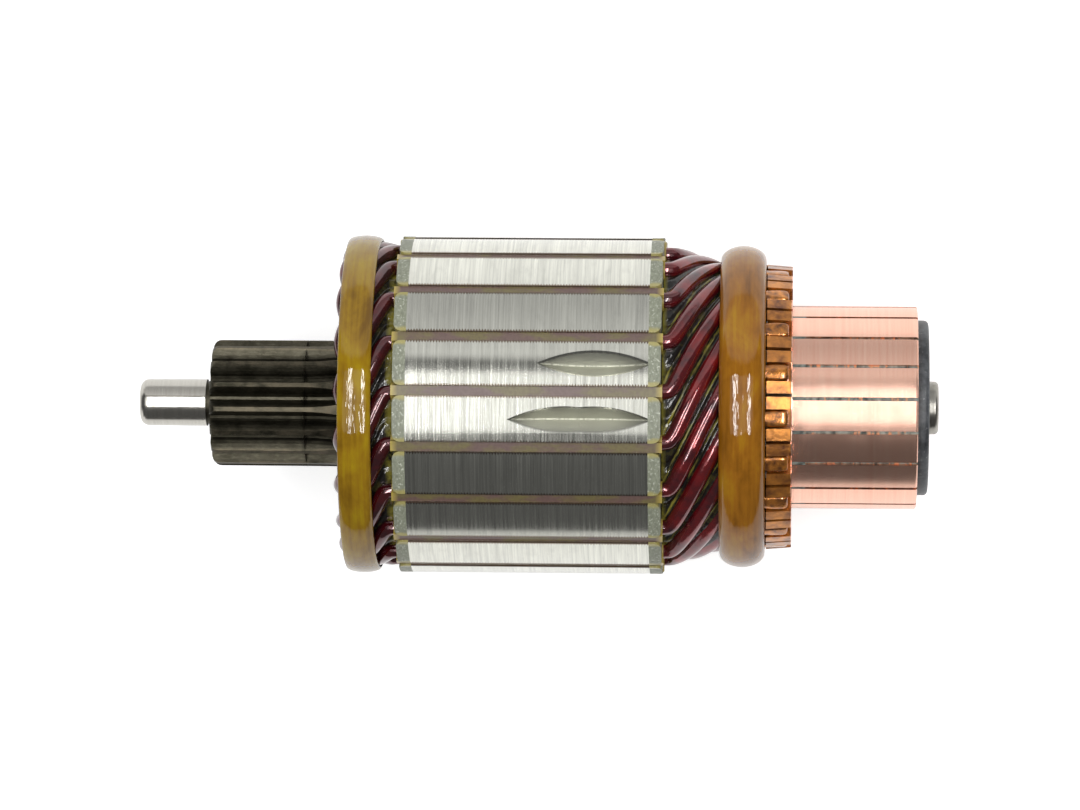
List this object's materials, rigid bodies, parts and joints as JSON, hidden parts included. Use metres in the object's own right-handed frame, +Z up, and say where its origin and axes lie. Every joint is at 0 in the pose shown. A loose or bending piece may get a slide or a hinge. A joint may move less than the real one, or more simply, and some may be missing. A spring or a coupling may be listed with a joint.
{
  "type": "motor armature",
  "caption": "Wound armature of a direct-current motor: sun gear on the shaft, slotted laminated core, banded hairpin winding and a copper commutator with slotted risers.",
  "frame": {"origin": "centre of the part's box, on the shaft's axis", "axes": "+X along the shaft from the sun gear to the commutator, +Y across it, +Z up from the slot on which the part lies"},
  "size_m": [0.1436, 0.0608, 0.0608],
  "materials": {
    "shaft_steel": "ground journals, dark heat-treated teeth",
    "core_steel": "fine circumferential turning",
    "plate_fibre": "resin-bonded fibre board, speckled",
    "liner_film": "film and paper laminate",
    "sheet_film": "varnished film",
    "band_resin": "glossy amber resin over glass tape",
    "winding_enamel": "dark red enamel and impregnating varnish over copper",
    "bar_copper": "turned copper",
    "mica": "matt mica",
    "hub_moulding": "glass-filled moulding",
    "bush_steel": "turned",
    "ring_glass": "resin-bonded glass fibre"
  },
  "bodies": {
    "root": {"armature_shaft": "shaft_steel", "lamination_stack": "core_steel", "end_plate_front": "plate_fibre", "end_plate_rear": "plate_fibre", "slot_liners": "liner_film", "layer_sheet_front": "sheet_film", "layer_sheet_rear": "sheet_film", "winding_band_front": "band_resin", "winding_band_rear": "band_resin", "mica_separators": "mica", "commutator_hub": "hub_moulding", "commutator_bush": "bush_steel", "hub_ring_front": "ring_glass", "hub_ring_rear": "ring_glass", "hairpin_01": "winding_enamel", "hairpin_02": "winding_enamel", "hairpin_03": "winding_enamel", "hairpin_04": "winding_enamel", "hairpin_05": "winding_enamel", "hairpin_06": "winding_enamel", "hairpin_07": "winding_enamel", "hairpin_08": "winding_enamel", "hairpin_09": "winding_enamel", "hairpin_10": "winding_enamel", "hairpin_11": "winding_enamel", "hairpin_12": "winding_enamel", "hairpin_13": "winding_enamel", "hairpin_14": "winding_enamel", "hairpin_15": "winding_enamel", "hairpin_16": "winding_enamel", "hairpin_17": "winding_enamel", "hairpin_18": "winding_enamel", "hairpin_19": "winding_enamel", "commutator_bar_01": "bar_copper", "commutator_bar_02": "bar_copper", "commutator_bar_03": "bar_copper", "commutator_bar_04": "bar_copper", "commutator_bar_05": "bar_copper", "commutator_bar_06": "bar_copper", "commutator_bar_07": "bar_copper", "commutator_bar_08": "bar_copper", "commutator_bar_09": "bar_copper", "commutator_bar_10": "bar_copper", "commutator_bar_11": "bar_copper", "commutator_bar_12": "bar_copper", "commutator_bar_13": "bar_copper", "commutator_bar_14": "bar_copper", "commutator_bar_15": "bar_copper", "commutator_bar_16": "bar_copper", "commutator_bar_17": "bar_copper", "commutator_bar_18": "bar_copper", "commutator_bar_19": "bar_copper"}
  },
  "joints": []
}
